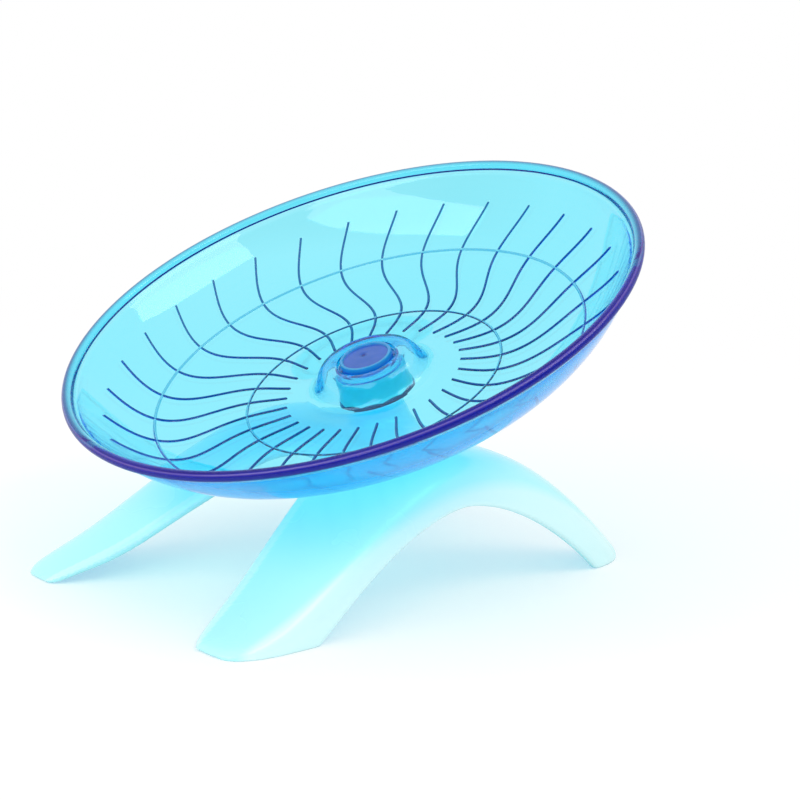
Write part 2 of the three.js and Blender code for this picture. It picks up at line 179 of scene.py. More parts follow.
def blendShaders(tree, factor, first, second):
    mix = addNode(tree, "ShaderNodeMixShader")
    tree.links.new(factor, mix.inputs[0])
    tree.links.new(first, mix.inputs[1])
    tree.links.new(second, mix.inputs[2])
    return mix.outputs[0]


def shareOf(tree, word):
    # A share that the mesh keeps at its points.
    return addNode(tree, "ShaderNodeAttribute", {"attribute_name": word + "Share"}).outputs["Fac"]


def bumpOn(tree, shader, height, distance):
    bump = addNode(tree, "ShaderNodeBump", None, Distance=distance)
    tree.links.new(height, bump.inputs["Height"])
    tree.links.new(bump.outputs["Normal"], shader.inputs["Normal"])


# Dish

dish = {
    # The bowl, its lip and its wall
    "lipRadius": 86.6, "floorDepth": 27.0, "bowlPower": 5.3, "floorRise": 3.0, "floorRiseReach": 24,
    "wall": 2.0, "innerRadius": 20, "outerRadius": 85.8, "underEnd": 85.2,
    # The bead, as a part of an ellipse between two angles of its section
    "beadMiddle": 88.3, "beadWidth": 3.4, "beadHeight": 3.0, "beadTurn": (196, -110),
    "ringRadii": (40.2, 67.6), "ringWidth": 0.9, "ringHeight": 0.35,
    "ribCount": 30, "ribStart": 27.7, "ribEnd": 80, "ribWidth": 0.9, "ribHeight": 0.45,
    "ribFirst": math.radians(3), "ribSwing": math.radians(4.5), "ribWaveLow": 39.5, "ribWaveLength": 52,
    # The hub, as pairs of radius and depth, and the scalloped line of painted shadow at the foot of its
    # barrel
    "shoulder": ((11.4, 20.3), (10.2, 20.4)),
    "barrel": ((9.8, 21.2), (12.0, 31.2)),
    "sleeve": 8.6,
    "bearingSeat": ((5.2, 28.7), (5.2, 27.5), (6.8, 27.5), (6.8, 20.1), (9.2, 20.1), (9.3, 18.5)),
    "bell": ((10.4, 18.15), (12.2, 18.1), (14.2, 18.75), (15.6, 20.2), (16.6, 21.9), (17.5, 23.5),
             (18.6, 24.8)),
    "hollow": ((17.6, 26.6), (16.2, 25.3), (15.0, 23.5), (14.0, 21.6), (12.9, 20.6)),
    "cornerReach": 0.18, "scallops": 11, "scallopDepth": 0.8, "shadowLineWidth": 1.6, "shadowLineFade": 0.25,
    # Where the solid colours lie: the bead's painted highlight, and the painted shade of the outer wall and
    # the bell
    "beadHighlightTurn": 44, "beadHighlightHalf": 4.5, "wallFrom": 45, "wallTo": 72, "beadFade": 2.4, "beadFrom": 0.8,
    "bellDepth": 24.5, "bellRadii": (8.6, 18),
    # Rows and columns of the grid, at shares of the barrel and at widths of a ring or half widths of a rib
    "barrelSpots": (0.15, 0.35, 0.55, 0.68, *np.linspace(0.74, 0.88, 12), 0.94),
    "ringSpots": (-0.62, -0.5, -0.3, -0.1, 0.1, 0.3, 0.5, 0.62), "endSpots": (-0.5, -0.25, 0, 0.25, 0.5),
    "ribSpots": (-1.3, -1.0, -0.78, -0.4, 0.0, 0.4, 0.78, 1.0, 1.3), "gapSpots": (0.2, 0.4, 0.6, 0.8),
    "runningRows": 70, "rowGap": 0.35, "beadRows": 26, "underRows": 32, "bellSteps": 4, "hollowSteps": 3,
    # The plastic and its solid colours, with the share of body that each one has
    "ior": 1.46, "roughness": 0.015, "hazeScale": 60, "waveScale": 22, "waveHeight": 0.0004,
    "bodyRoughness": 0.04, "bodyShine": 0.2,
    "clearTint": (0.93, 1.0, 1.0), "absorbColour": (0.03, 0.89, 0.9995), "absorbDensity": 580,
    # Painted shade: a deeper azure on the outer wall, shown only from outside.
    "wallColour": (0.0, 0.43, 1.0), "wallBody": 0.52,
    # Painted shade: the bead's dark indigo body, shown only from outside.
    "beadColour": (0.01, 0.0, 0.22), "beadBody": 0.82,
    # Painted highlight: a lilac line round the top of the bead.
    "beadHighlightColour": (0.56, 0.4, 0.9), "beadHighlightBody": 0.7,
    "ribColour": (0.0, 0.07, 0.3), "ribBody": 0.88,
    "ringColour": (0.0, 0.3, 0.62), "ringBody": 0.45,
    "barrelColour": (0.35, 0.95, 0.82), "barrelBody": 0.8,
    # Painted shadow: the dark scalloped line at the foot of the barrel.
    "lineColour": (0.0, 0.03, 0.09),
    # Painted shade: a deep blue share on the bell's slope.
    "bellColour": (0.0, 0.3, 0.85), "bellBody": 0.12,
}
slopeStep = 0.01


def bowlDepth(radius):
    # Depth of the running surface: nearly flat, steeper towards the lip, with a low rise at the hub.
    bowl = dish["floorDepth"] * (1 - (radius / dish["lipRadius"]) ** dish["bowlPower"])
    return bowl - dish["floorRise"] * np.exp(-((radius / dish["floorRiseReach"]) ** 2))


def bowlSlope(radius):
    # How steeply the running surface rises outwards, over a short step to each side.
    return (bowlDepth(radius - slopeStep) - bowlDepth(radius + slopeStep)) / (2 * slopeStep)


def bowlPoint(radius, offset):
    # A point of the running surface moved along its upward normal.
    slope = bowlSlope(radius)
    length = np.hypot(slope, 1)
    return radius - offset * slope / length, -bowlDepth(radius) + offset / length


def ribSwirl(radius):
    # The ribs swing round the axle as one wave of a raised cosine over the radius.
    held = np.clip(radius, dish["ribStart"], dish["ribEnd"])
    return dish["ribSwing"] * (1 - np.cos(2 * np.pi * (held - dish["ribWaveLow"]) / dish["ribWaveLength"]))


def runningRadii():
    # Radii of the running surface's rows: even ones, and close ones at the rings and the ribs' ends.
    d = dish
    rings = np.array(d["ringRadii"])[:, None] + d["ringWidth"] * np.array(d["ringSpots"])
    ends = np.array([[d["ribStart"]], [d["ribEnd"]]]) + np.array(d["endSpots"])
    special = np.concatenate([rings.ravel(), ends.ravel()])
    plain = np.linspace(d["innerRadius"], d["outerRadius"], d["runningRows"])
    plain = plain[np.abs(plain[:, None] - special).min(1) > d["rowGap"]]
    return np.sort(np.concatenate([plain, special]))


def dishProfile(running):
    # The closed profile as (radius, height): seat and barrel, bell, running surface, bead, underside
    # and the hollow behind the bell, with the name of the line that each of its points is on.
    d = dish
    down = np.array([1, -1])
    top, bottom = np.array(d["barrel"]) * down
    seatCorners = (*d["shoulder"], *d["barrel"], (d["sleeve"], -bottom[1]),
                   (d["sleeve"], d["bearingSeat"][0][1]), *d["bearingSeat"], d["bell"][0])
    seat = roundCorners(np.array(seatCorners) * down, d["cornerReach"])
    share = np.array(d["barrelSpots"])[:, None]
    seat = np.insert(seat, 1 + 2 * cornerSteps, top * (1 - share) + bottom * share, axis=0)
    bellEnd = (d["innerRadius"], float(bowlDepth(d["innerRadius"])))
    bell = smoothLine(np.array((*d["bell"], bellEnd)) * down, d["bellSteps"])
    turn = np.radians(np.linspace(*d["beadTurn"], d["beadRows"]))
    bead = np.stack([d["beadMiddle"] + d["beadWidth"] / 2 * np.cos(turn),
                     d["beadHeight"] / 2 * np.sin(turn)], -1)
    back = np.linspace(d["underEnd"], d["innerRadius"], d["underRows"])
    under = np.stack(bowlPoint(back, -d["wall"]), -1)
    behind = np.array((*d["hollow"], d["shoulder"][0])) * down
    hollow = smoothLine([under[-1], *behind], d["hollowSteps"])
    lines = {"seat": seat[1:-1], "bell": bell[:-1], "running": np.stack(bowlPoint(running, 0), -1),
             "bead": bead, "under": under, "hollow": hollow[1:-1]}
    counts = [len(points) for points in lines.values()]
    return np.concatenate(list(lines.values())), np.repeat(list(lines), counts)


def ribColumns(radius):
    # Angles of the grid's columns, which follow the S of the ribs and crowd at each rib, and the half
    # widths of a rib that each column is away from its rib's middle.
    d = dish
    pitch = 2 * np.pi / d["ribCount"]
    half = d["ribWidth"] / 2 / np.maximum(radius, d["ribStart"])[:, None]
    near = half * np.array(d["ribSpots"])
    far = near[:, -1:] + np.array(d["gapSpots"]) * (pitch + near[:, :1] - near[:, -1:])
    local = np.concatenate([near, far], 1)
    ribs = d["ribFirst"] + ribSwirl(radius)[:, None, None] + pitch * np.arange(d["ribCount"])[:, None]
    wellAway = np.full(len(d["gapSpots"]), 9.0)
    across = np.tile(np.append(d["ribSpots"], wellAway), (len(radius), d["ribCount"]))
    return (ribs + local[:, None, :]).reshape(len(radius), -1), across


def colourShares(profile, line, angles):
    # Where the solid colours lie. The bead's painted shade fades over the inner half of its section, its
    # painted highlight is a bell curve of the section's angle, the wall's painted shade grows with the
    # radius, and the upper edge of the painted shadow line on the barrel is a row of arcs, each one half a
    # wave of a sine.
    d = dish
    radius, height, line = profile[:, :1], profile[:, 1:2], line[:, None]
    (topRadius, topDepth), (_, endDepth) = d["barrel"]
    fromMiddle = (radius - d["beadMiddle"]) / d["beadWidth"]
    sectionTurn = np.degrees(np.arctan2(height / d["beadHeight"], fromMiddle))
    isBarrel = (line == "seat") & (radius > topRadius - 0.1) & (height < -topDepth)
    isHub = (line == "seat") | (line == "bell")
    bellInner, bellOuter = d["bellRadii"]
    # The bell's painted shade lies on its slope between two radii, above a depth.
    isBell = isHub & (height > -d["bellDepth"]) & (radius > bellInner) & (radius < bellOuter) & ~isBarrel
    # Upper edge of the painted shadow line, scalloped round the barrel.
    edge = endDepth - d["shadowLineWidth"] - d["scallopDepth"] * np.abs(np.sin(angles * d["scallops"] / 2))
    outwards = (radius - d["wallFrom"]) / (d["wallTo"] - d["wallFrom"])
    return {
        "barrelShare": isBarrel,
        "lineShare": isBarrel * np.clip((-height - edge) / d["shadowLineFade"], 0, 1),
        "bellShare": isBell,
        "beadShare": (line == "bead") * np.clip(fromMiddle * d["beadFade"] + d["beadFrom"], 0, 1),
        "wallShare": (line == "under") * np.clip(outwards, 0, 1),
        "beadHighlightShare": (line == "bead") * np.exp(-((sectionTurn - d["beadHighlightTurn"]) / d["beadHighlightHalf"]) ** 2),
    }


def makeDish():
    # One closed profile carried round the axle. Ribs and rings are raised on the same grid, by a height
    # along the normal: a fourth power of the distance across a rib, a square of that across a ring.
    d = dish
    running = runningRadii()
    profile, line = dishProfile(running)
    isRunning = line == "running"
    radius = profile[:, 0].copy()
    radius[isRunning] = running
    angles, across = ribColumns(radius)
    onRibs = isRunning & (radius > d["ribStart"] - slopeStep) & (radius < d["ribEnd"] + slopeStep)
    ribShare = np.clip(1 - np.abs(across) ** 4, 0, 1) * onRibs[:, None]
    ringAway = np.abs(radius[:, None] - np.array(d["ringRadii"])).min(1) / (d["ringWidth"] / 2)
    ringShare = (np.clip(1 - ringAway ** 2, 0, 1) * isRunning)[:, None]
    lift = np.maximum(d["ribHeight"] * ribShare, d["ringHeight"] * ringShare)
    slope = bowlSlope(radius) * isRunning
    length = np.hypot(slope, 1)
    points = turnedPoints(profile, angles)
    outward = -(slope / length)[:, None] * lift
    points[..., 0] += outward * np.cos(angles)
    points[..., 1] += outward * np.sin(angles)
    points[..., 2] += (1 / length)[:, None] * lift
    shares = {"ribShare": ribShare * (1 - ringShare), "ringShare": ringShare * (1 - ribShare)}
    shares.update(colourShares(profile, line, angles))
    shares = {word: np.broadcast_to(share, angles.shape) for word, share in shares.items()}
    return makeMesh("clear_dish", fromDish(points).reshape(-1, 3), gridQuads(*angles.shape), shares)


def clearPlastic(settings):
    # Clear tinted plastic, mixed with a share of solid colour in the bead, the ribs, the rings, the hub
    # and the outer wall. The colour on the bead, the outer wall and the bell is painted shade, with a
    # painted highlight round the bead and a painted shadow line on the barrel. Lamps and scattered light go
    # straight through it, and the inside tints them.
    material, tree, shader = newMaterial("clear cyan plastic")
    shader.inputs["Transmission Weight"].default_value = 1.0
    shader.inputs["IOR"].default_value = settings["ior"]
    shader.inputs["Base Color"].default_value = (*settings["clearTint"], 1)
    haze = noiseOn(tree, settings["hazeScale"], 3)
    tree.links.new(spread(tree, haze, 0.3, 0.8, settings["roughness"], 4 * settings["roughness"]),
                   shader.inputs["Roughness"])
    bumpOn(tree, shader, noiseOn(tree, settings["waveScale"], 1), settings["waveHeight"])
    body = addNode(tree, "ShaderNodeBsdfPrincipled", None, Roughness=settings["bodyRoughness"],
                   Specular_IOR_Level=settings["bodyShine"])
    colour = settings["ribColour"]
    for word in ("wall", "ring", "bead", "beadHighlight", "barrel", "line", "bell"):
        colour = blendColours(tree, shareOf(tree, word), colour, settings[word + "Colour"])
    tree.links.new(colour, body.inputs["Base Color"])
    # The painted shade of the bead and the outer wall, and the bead's painted highlight, show solid from
    # outside and are clear to a ray that is already inside the plastic.
    rays = addNode(tree, "ShaderNodeLightPath")
    outside = spread(tree, shareOf(tree, "wall"), 0, 1, 0, settings["wallBody"])
    for word in ("bead", "beadHighlight"):
        share = spread(tree, shareOf(tree, word), 0, 1, 0, settings[word + "Body"])
        outside = calculate(tree, "MAXIMUM", outside, share)
    bodyShare = calculate(tree, "SUBTRACT", outside, rays.outputs["Is Transmission Ray"])
    for word in ("rib", "ring", "barrel", "bell"):
        share = spread(tree, shareOf(tree, word), 0, 0.6, 0, settings[word + "Body"])
        bodyShare = calculate(tree, "MAXIMUM", bodyShare, share)
    solid = blendShaders(tree, bodyShare, shader.outputs[0], body.outputs[0])
    through = calculate(tree, "MAXIMUM", rays.outputs["Is Shadow Ray"], rays.outputs["Is Diffuse Ray"])
    passing = addNode(tree, "ShaderNodeBsdfTransparent")
    absorb = addNode(tree, "ShaderNodeVolumeAbsorption", None, Color=(*settings["absorbColour"], 1),
                     Density=settings["absorbDensity"])
    output = next(node for node in tree.nodes if node.type == "OUTPUT_MATERIAL")
    tree.links.new(blendShaders(tree, through, solid, passing.outputs[0]), output.inputs["Surface"])
    tree.links.new(absorb.outputs["Volume"], output.inputs["Volume"])
    return material


clearDish = makeDish()
clearDish.data.materials.append(clearPlastic(dish))
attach(clearDish, "saucer")
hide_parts("saucer_dish")
print("stage: dish made,", len(clearDish.data.polygons), "faces")

# Hub cap

cap = {
    "face": 6.95, "faceDepth": 18.2, "radius": 8.1, "topDepth": 17.6, "sideEnd": 19.9, "underside": 19.3,
    "skirtOuter": 6.5, "skirtInner": 5.3, "skirtEnd": 21.9, "fingers": 6, "slotWidth": 1.6, "slotTop": 20.4,
    "faceMargin": 0.4, "rimSlant": 0.25, "sideSlant": 0.05, "cornerReach": 0.15, "pole": 0.001,
    "skirtFrom": 0.5, "skirtFade": 0.4, "sideFade": 0.3, "edgeFrom": 0.05, "edgeFade": 0.25,
    "mark": (-1.9, 0.8), "markReach": 0.9, "markDepth": 0.35, "markBelow": 0.1,
    "faceRows": 22, "segments": 240, "slotSharpness": 60,
    "faceTint": (0.02, 0.17, 0.74), "skirtTint": (0.0, 0.05, 0.75), "edgeTint": (0.04, 0.55, 1.0),
    "cloudTint": (0.2, 0.33, 0.92), "cloudShare": 0.25, "cloudScale": 260, "markTint": (0.02, 0.02, 0.25),
    "clearness": 0.45, "ior": 1.49, "shine": 0.3, "roughness": (0.1, 0.28),
}


def makeCap():
    # A closed profile of a sunk face, a raised rim and a skirt, carried round the axle. The skirt's end
    # is drawn up between its fingers by a smooth step of the angle, and the moulding mark on the face
    # is sunk by a bell curve of the distance from its middle.
    c = cap
    top, face, under = -c["topDepth"], -c["faceDepth"], -c["underside"]
    side, end = -c["sideEnd"], -c["skirtEnd"]
    faceLine = [(r, face) for r in np.linspace(c["pole"], c["face"] - c["faceMargin"], c["faceRows"])]
    rest = roundCorners([faceLine[-1], (c["face"], face), (c["face"] + c["rimSlant"], top),
                         (c["radius"] - c["sideSlant"], top), (c["radius"], side), (c["skirtOuter"], side),
                         (c["skirtOuter"], end), (c["skirtInner"], end), (c["skirtInner"], under),
                         (c["pole"], under)], c["cornerReach"])
    profile = np.concatenate([faceLine[:-1], rest])
    angles = np.linspace(0, 2 * np.pi, c["segments"], endpoint=False)[None, :]
    points = turnedPoints(profile, angles + 0 * profile[:, :1])
    wave = np.abs((angles * c["fingers"] / (2 * np.pi)) % 1 - 0.5) * 2
    slotShare = c["slotWidth"] * c["fingers"] / (2 * np.pi * c["skirtOuter"])
    gapShare = 1 / (1 + np.exp((wave - slotShare) * c["slotSharpness"]))
    drawn = np.maximum(points[..., 2], -c["slotTop"])
    height = points[..., 2] * (1 - gapShare) + drawn * gapShare
    radius = np.hypot(points[..., 0], points[..., 1])
    isSide = np.clip((radius - c["face"]) / c["sideFade"], 0, 1)
    skirtShare = np.clip((top - c["skirtFrom"] - height) / c["skirtFade"], 0, 1) * isSide
    edgeShare = np.clip((radius - c["face"] + c["edgeFrom"]) / c["edgeFade"], 0, 1) * (1 - skirtShare)
    markX, markY = points[..., 0] - c["mark"][0], points[..., 1] - c["mark"][1]
    markShare = np.exp(-((markX ** 2 + markY ** 2) / c["markReach"] ** 2)) * (height > face - c["markBelow"])
    points[..., 2] = height - c["markDepth"] * markShare
    shares = {"skirtShare": skirtShare, "edgeShare": edgeShare, "markShare": markShare}
    return makeMesh("cap", fromDish(points).reshape(-1, 3), gridQuads(*points.shape[:2]), shares)


def indigoPlastic(settings):
    # Half-clear plastic in three tints, for face, rim and skirt, with a clouded face and a dark mark.
    material, tree, shader = newMaterial("indigo clear plastic")
    shader.inputs["Transmission Weight"].default_value = settings["clearness"]
    shader.inputs["IOR"].default_value = settings["ior"]
    shader.inputs["Specular IOR Level"].default_value = settings["shine"]
    colour = blendColours(tree, shareOf(tree, "skirt"), settings["faceTint"], settings["skirtTint"])
    colour = blendColours(tree, shareOf(tree, "edge"), colour, settings["edgeTint"])
    cloud = noiseOn(tree, settings["cloudScale"], 4)
    colour = blendColours(tree, spread(tree, cloud, 0.35, 0.75, 0, settings["cloudShare"]), colour,
                          settings["cloudTint"])
    colour = blendColours(tree, shareOf(tree, "mark"), colour, settings["markTint"])
    tree.links.new(colour, shader.inputs["Base Color"])
    tree.links.new(spread(tree, cloud, 0.3, 0.8, *settings["roughness"]), shader.inputs["Roughness"])
    return material


hubCap = makeCap()
hubCap.data.materials.append(indigoPlastic(cap))
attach(hubCap, "saucer")
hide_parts("hub_cap")
print("stage: hub cap made")

# Stand

stand = {
    # The moulding's outline and ridge
    "ridgeHeight": float(rimMiddle[2]) - 39.1, "halfWidth": 51.3, "halfLength": 82.9, "middle": -0.6,
    "taper": 0.06, "power": 9, "ridgeMiddle": 1.48, "ridgeHalfLength": 85.02, "ridgePower": 1.15,
    "ridgeLean": 0.35, "leastArc": 0.004, "leastRidge": 0.05, "leastSlope": 0.02, "wall": 3.0,
    # The feet's tips, and where their corners are rounded
    "tipHeight": 2.3, "tipSlope": 0.37, "tipBlend": 2.0, "tipRound": 3.2, "tipUp": 6,
    "tipFrom": 60, "tipFade": 12,
    # The side arches and the two bays between the feet
    "archMiddle": 5.99, "archHalfWidth": 57.97, "archHeight": 0.69, "archPower": 1.7,
    "bays": ({"side": -1, "foot": 33.5, "apex": -10.0, "round": 12.0},
             {"side": 1, "foot": 38.0, "apex": 8.53, "round": 18.0}),
    # The post under the bearing, with its bore
    "postTipRadius": 3.2, "postTipDepth": 27.5, "pillarRadius": 7.4, "shoulderDepth": 29.7, "endDepth": 44.5,
    "bore": 2.0, "boreEnd": 39.5, "postTipEdge": 0.5, "shoulderEdge": 1.2, "endEdge": 0.8, "postBlend": 6.0,
    # Rounding of edges, and the lattice of the surface net
    "edge": 1.3, "rimEdge": 0.6, "floorEdge": 0.5, "boreEdge": 0.3,
    "low": (-58.2, -87.1, -1.2), "high": (58.5, 84, 60), "step": 0.72,
    "settling": 3, "probe": 0.02, "leastSquare": 0.2, "longestMove": 0.3,
    # Colours, and where they lie: a painted highlight on the strips beside the bays, painted light on the
    # legs' outer sides and painted shade high up under the dish
    "edgeHighlightWidth": 3.6, "edgeHighlightFade": 0.35, "topReach": 0.9, "sideFrom": 0.42, "sideFade": 0.16,
    "paintedShadeFrom": 34, "paintedShadeTo": 52, "cloudScale": 35, "cloudShade": 0.97,
    # Painted shade high up under the dish, and a painted highlight on the strips beside the bays.
    "colour": (0.51, 0.978, 0.99), "paintedShadeColour": (0.28, 0.92, 1.0), "edgeHighlightColour": (0.66, 0.99, 1.0),
    # Painted light: the paler colour of the legs' outer sides.
    "sideColour": (0.72, 1.0, 0.995),
    "ior": 1.49, "roughness": (0.2, 0.32), "coat": 0.25, "coatRoughness": 0.12,
    "waveScale": 45, "waveHeight": 0.00008,
}


def softMax(a, b, reach):
    # The larger of two values, with the crease between them rounded over a reach.
    overlap = np.maximum(reach - np.abs(a - b), 0) / reach
    return np.maximum(a, b) + overlap ** 2 * reach / 4


def topDistance(x, y, z, shrink):
    # The moulding's top: (height/ridge)^3 + (x/half width)^9 + (y/half length)^9 = 1, where the ridge
    # is a power of a cosine over the length that leans to one end, and no lower than a line that
    # falls to the tips of the feet. Divided by its own slope.
    s = stand
    share = (y - s["ridgeMiddle"]) / s["ridgeHalfLength"]
    turn = np.clip(share, -1, 1) * np.pi / 2
    arc = np.maximum(np.cos(turn), s["leastArc"]) ** s["ridgePower"]
    tipLine = s["tipHeight"] + s["tipSlope"] * np.maximum(s["halfLength"] - np.abs(y - s["middle"]), 0)
    ridge = softMax(s["ridgeHeight"] * arc * (1 + s["ridgeLean"] * share), tipLine, s["tipBlend"]) - shrink
    ridge = np.maximum(ridge, s["leastRidge"])
    halfWidth = s["halfWidth"] * (1 - s["taper"] * share) - shrink
    halfLength = s["halfLength"] - shrink
    u, v, w = x / halfWidth, (y - s["middle"]) / halfLength, z / ridge
    n = s["power"]
    value = w ** 3 + np.abs(u) ** n + np.abs(v) ** n - 1
    bend = s["ridgeHeight"] * s["ridgePower"] * np.pi / 2 / s["ridgeHalfLength"] * np.sin(turn)
    slopeX = n * np.abs(u) ** (n - 1) / halfWidth
    slopeY = n * np.abs(v) ** (n - 1) / halfLength + np.abs(3 * w ** 3 / ridge * bend)
    slopeZ = 3 * w ** 2 / ridge
    return value / np.maximum(np.sqrt(slopeX ** 2 + slopeY ** 2 + slopeZ ** 2), s["leastSlope"])


def archDistance(y, z):
    # Positive over the arch, whose height falls off as a power of the distance from its middle.
    s = stand
    height = s["ridgeHeight"] * s["archHeight"]
    share = np.abs(y - s["archMiddle"]) / s["archHalfWidth"]
    slope = height * s["archPower"] * share ** (s["archPower"] - 1) / s["archHalfWidth"]
    return (z - height * (1 - share ** s["archPower"])) / np.hypot(slope, 1)


def bayDistance(x, y, bay):
    # Distance outside a wedge in plan whose point is rounded off.
    s = stand
    footY = s["halfLength"] + bay["side"] * s["middle"]
    half = math.atan2(bay["foot"], footY - bay["apex"])
    middle = bay["apex"] + bay["round"] / math.sin(half)
    px, py = np.abs(x), y * bay["side"] - middle
    along = px * math.sin(half) + py * math.cos(half)
    roundEnd = np.hypot(px, py) - bay["round"]
    flank = px * math.cos(half) - (y * bay["side"] - bay["apex"]) * math.sin(half)
    return np.where(along < 0, roundEnd, flank)


def bayAway(x, y):
    first, second = [bayDistance(x, y, bay) for bay in stand["bays"]]
    return np.minimum(first, second)


def standDistance(x, y, z):
    # Inside the top but outside its shrunk copy, the arches and the bays, joined to a stepped post on
    # the axle that is bored, and cut off at the floor. Edges are rounded, more so at the feet's tips.
    s = stand
    atTip = np.exp(-((z / s["tipUp"]) ** 2)) * np.clip((np.abs(y) - s["tipFrom"]) / s["tipFade"], 0, 1)
    shell = softMax(topDistance(x, y, z, 0), -topDistance(x, y, z, s["wall"]), s["rimEdge"])
    shell = softMax(shell, -archDistance(y, z), s["edge"])
    shell = softMax(shell, -bayAway(x, y), s["edge"] + (s["tipRound"] - s["edge"]) * atTip)
    spot = np.stack([x, y, z], -1) - rimMiddle
    depth = -(spot @ axleWay)
    away = np.sqrt(np.maximum((spot ** 2).sum(-1) - depth ** 2, 0))
    tip = softMax(away - s["postTipRadius"], s["postTipDepth"] - depth, s["postTipEdge"])
    post = softMax(away - s["pillarRadius"], s["shoulderDepth"] - depth, s["shoulderEdge"])
    pillar = softMax(np.minimum(tip, post), depth - s["endDepth"], s["endEdge"])
    body = -softMax(-shell, -pillar, s["postBlend"])
    bore = softMax(away - s["bore"], depth - s["boreEnd"], s["boreEdge"])
    return softMax(softMax(body, -bore, s["boreEdge"]), -z, s["floorEdge"])


def surfaceNet(distance, low, high, step):
    # The zero surface of a distance, found on a lattice: one point in each cell that it crosses, at
    # the mean of the crossings of the cell's edges, and one quad round each crossed edge. The points
    # then move down the slope of the distance until they lie on the surface.
    x, y, z = np.meshgrid(*[np.arange(a, b, step) for a, b in zip(low, high)], indexing="ij")
    value = distance(x, y, z)
    shape = value.shape
    cells = tuple(n - 1 for n in shape)
    total, count = np.zeros(cells + (3,)), np.zeros(cells)
    crossings = []
    for axis in range(3):
        first = tuple(slice(0, -1) if a == axis else slice(None) for a in range(3))
        second = tuple(slice(1, None) if a == axis else slice(None) for a in range(3))
        f0, f1 = value[first], value[second]
        crossed = (f0 < 0) != (f1 < 0)
        share = np.where(crossed, f0 / np.where(crossed, f0 - f1, 1), 0)
        spot = np.stack([a[first] for a in (x, y, z)], -1) * crossed[..., None]
        spot[..., axis] += share * step
        others = [a for a in range(3) if a != axis]
        for da in (0, 1):
            for db in (0, 1):
                part = [slice(None)] * 3
                part[others[0]] = slice(da, shape[others[0]] - 1 + da)
                part[others[1]] = slice(db, shape[others[1]] - 1 + db)
                total += spot[tuple(part)]
                count += crossed[tuple(part)]
        crossings.append((axis, others, crossed, f0 < 0))
    used = count > 0
    index = np.full(cells, -1)
    index[used] = np.arange(used.sum())
    points = total[used] / count[used][:, None]
    quads = []
    for axis, others, crossed, inside in crossings:
        trim = [slice(None)] * 3
        trim[others[0]] = slice(1, -1)
        trim[others[1]] = slice(1, -1)
        i = np.argwhere(crossed[tuple(trim)])
        i[:, others[0]] += 1
        i[:, others[1]] += 1
        step0, step1 = np.eye(3, dtype=int)[others[0]], np.eye(3, dtype=int)[others[1]]
        ring = [index[tuple((i - a * step0 - b * step1).T)] for a, b in ((1, 1), (0, 1), (0, 0), (1, 0))]
        quad = np.stack(ring, -1)
        flip = inside[tuple(i.T)] == (axis == 1)
        quad[flip] = quad[flip][:, ::-1]
        quads.append(quad)
    probe, longest = stand["probe"], stand["longestMove"] * step
    for _ in range(stand["settling"]):
        here = distance(*points.T)
        slope = np.stack([(distance(*(points + probe * e).T) - here) / probe for e in np.eye(3)], -1)
        move = slope * (here / np.maximum((slope ** 2).sum(-1), stand["leastSquare"]))[:, None]
        points = points - np.clip(move, -longest, longest)
    return points, np.concatenate(quads)


def makeStand():
    # The net of the stand's distance. Its shares are a painted highlight on strips beside the bays, painted
    # light on the tops of the legs' outer sides, by the outline's own power, and painted shade by the
    # height, deeper high up under the dish.
    s = stand
    points, quads = surfaceNet(standDistance, s["low"], s["high"], s["step"])
    points[:, 2] = np.maximum(points[:, 2], 0)
    onTop = np.abs(topDistance(*points.T, 0)) < s["topReach"]
    # Painted highlight on the strips beside the bays.
    edgeHighlight = np.clip((s["edgeHighlightWidth"] - bayAway(points[:, 0], points[:, 1])) / s["edgeHighlightFade"], 0, 1) * onTop
    # Painted shade, deeper high up under the dish.
    paintedShade = np.clip((points[:, 2] - s["paintedShadeFrom"]) / (s["paintedShadeTo"] - s["paintedShadeFrom"]), 0, 1)
    width = s["halfWidth"] * (1 - s["taper"] * (points[:, 1] - s["ridgeMiddle"]) / s["ridgeHalfLength"])
    outwards = np.abs(points[:, 0] / width) ** s["power"]
    # Painted light on the tops of the legs' outer sides.
    side = np.clip((outwards - s["sideFrom"]) / s["sideFade"], 0, 1) * onTop
    shares = {"edgeHighlightShare": edgeHighlight, "paintedShadeShare": paintedShade, "sideShare": side}
    return makeMesh("arched_stand", points, quads, shares)


def milkyPlastic(settings):
    # Coated plastic, faintly clouded, with painted shade deeper near the ridge, a painted highlight paler on
    # the strips and painted light paler on the sides.
    material, tree, shader = newMaterial("milky aqua plastic")
    for word, key in (("IOR", "ior"), ("Coat Weight", "coat"), ("Coat Roughness", "coatRoughness")):
        shader.inputs[word].default_value = settings[key]
    cloud = noiseOn(tree, settings["cloudScale"], 3)
    shade = tuple(c * settings["cloudShade"] for c in settings["colour"])
    colour = blendColours(tree, spread(tree, cloud, 0.3, 0.75, 0, 1), settings["colour"], shade)
    for word in ("paintedShade", "side", "edgeHighlight"):
        colour = blendColours(tree, shareOf(tree, word), colour, settings[word + "Colour"])
    tree.links.new(colour, shader.inputs["Base Color"])
    tree.links.new(spread(tree, cloud, 0.3, 0.8, *settings["roughness"]), shader.inputs["Roughness"])
    bumpOn(tree, shader, noiseOn(tree, settings["waveScale"], 1), settings["waveHeight"])
    return material


archedStand = makeStand()
archedStand.data.materials.append(milkyPlastic(stand))
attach(archedStand, "base")
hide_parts("stand")
print("stage: stand made,", len(archedStand.data.polygons), "faces")

# Bearing and screw: the CAD nodes in steel and brass

